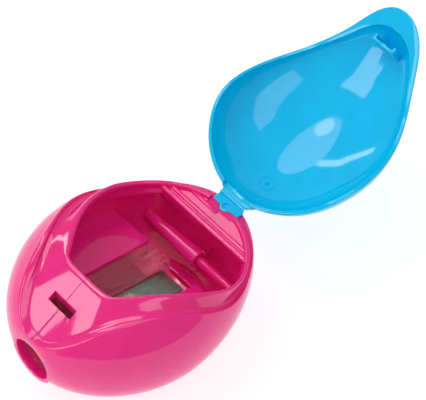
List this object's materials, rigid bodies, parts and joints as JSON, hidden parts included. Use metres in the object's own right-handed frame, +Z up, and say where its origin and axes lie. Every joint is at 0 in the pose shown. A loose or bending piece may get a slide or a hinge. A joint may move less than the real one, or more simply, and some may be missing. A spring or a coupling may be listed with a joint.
{
  "type": "pencil sharpener",
  "caption": "Egg-shaped pencil sharpener: a two-part hollow body with a wedge sharpener block inside and a domed lid that swings open on a living hinge.",
  "frame": {"origin": "middle of the flat underside of the body, on the seam plane", "axes": "+Z up; +Y from the pencil hole towards the hinge and the open lid; +X to the right, seen from the pencil hole"},
  "size_m": [0.046, 0.1068, 0.0445],
  "materials": {
    "pink_plastic": "glossy moulded plastic",
    "clear_plastic": "clear polystyrene, polished",
    "blade_steel": "ground steel strip",
    "screw_steel": "plated screw",
    "blue_plastic": "glossy moulded plastic"
  },
  "bodies": {
    "body": {"left_shell": "pink_plastic", "right_shell": "pink_plastic", "sharpener_block": "clear_plastic", "blade": "blade_steel", "blade_screw": "screw_steel", "living_hinge": "blue_plastic", "hinge_anchor": "blue_plastic"},
    "lid": {"lid": "blue_plastic"}
  },
  "joints": [
    {"name": "lid_swing", "type": "hinge", "parent": "body", "child": "lid", "pos_m": [0, 0.0292, 0.02], "axis": [1, 0, 0], "range_deg": [0, 152]}
  ]
}
